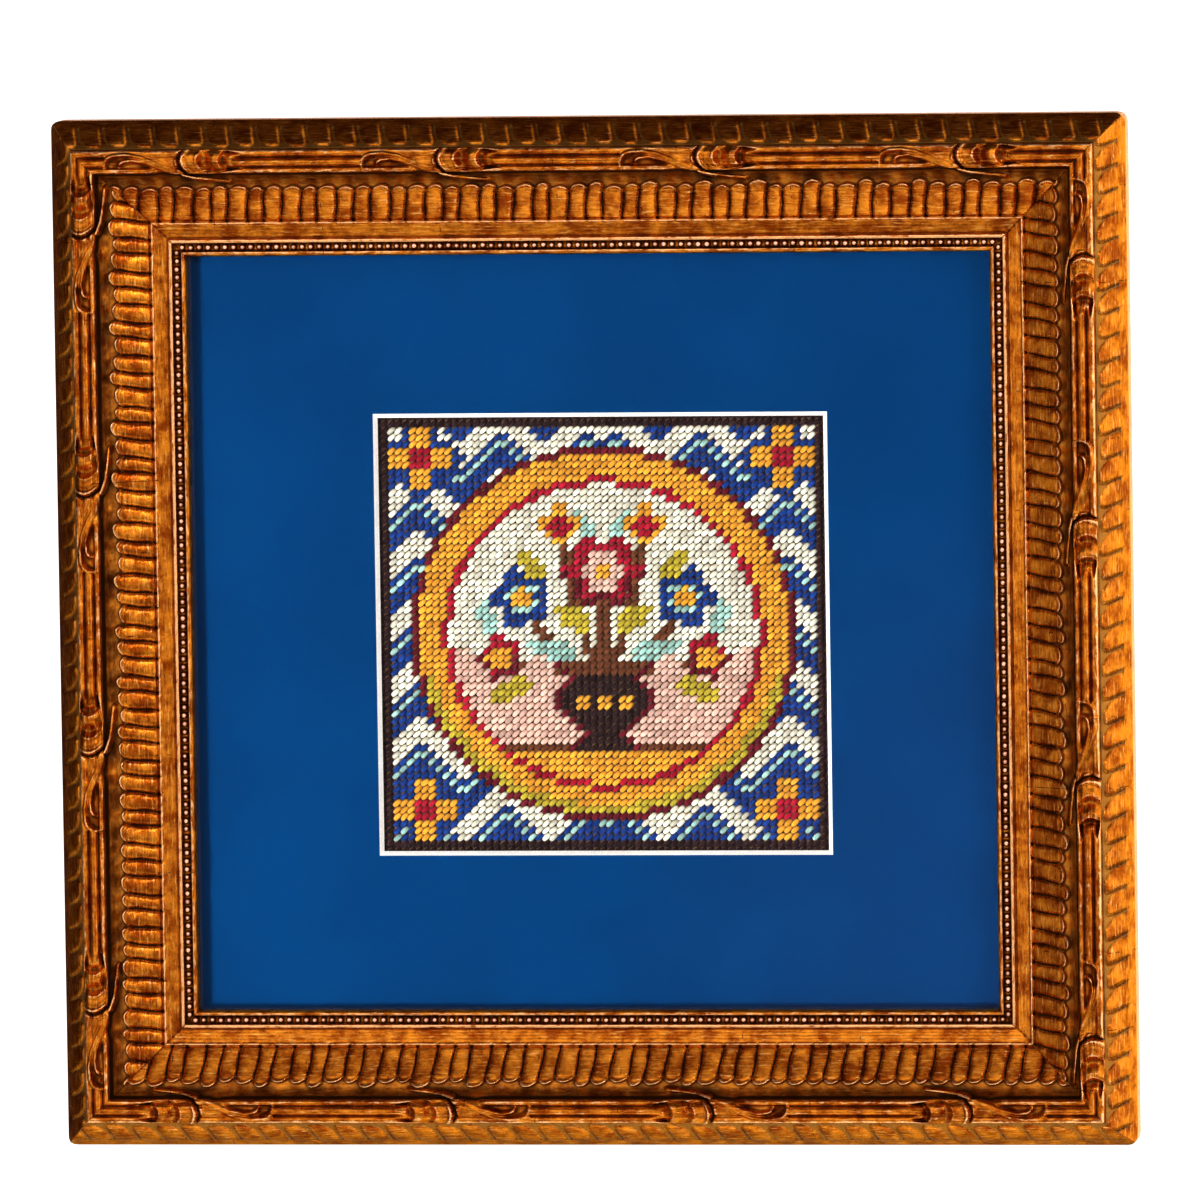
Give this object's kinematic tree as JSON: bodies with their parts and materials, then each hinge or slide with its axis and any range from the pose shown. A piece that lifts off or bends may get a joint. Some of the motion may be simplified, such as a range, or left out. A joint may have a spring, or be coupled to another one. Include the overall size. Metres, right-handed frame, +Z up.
{
  "type": "framed needlepoint picture",
  "caption": "Framed needlepoint picture: gilded ornamental moulding with leaf scrolls and flutes, glass, blue window mat and stitched canvas.",
  "frame": {"origin": "middle of the top rail's back face, between its outer edge and its rabbet", "axes": "+X to the picture's right as it is seen from the front, +Y from the picture into the wall, +Z up; the picture faces -Y and its back lies in the plane y = 0"},
  "size_m": [0.385, 0.0332, 0.3671],
  "materials": {
    "gilded_moulding": "burnished gilt over dark patina",
    "clear_glass": "polished",
    "mat_paper": "matte royal blue face paper with a white bevel",
    "wool_yarn": "tent stitch in wool on open canvas",
    "backing_board": "matte brown board"
  },
  "bodies": {
    "root": {"frame_rail_top": "gilded_moulding", "frame_rail_right": "gilded_moulding", "frame_rail_bottom": "gilded_moulding", "frame_rail_left": "gilded_moulding", "glazing": "clear_glass", "mat_board": "mat_paper", "needlepoint_canvas": "wool_yarn", "backing_board": "backing_board"}
  },
  "joints": []
}
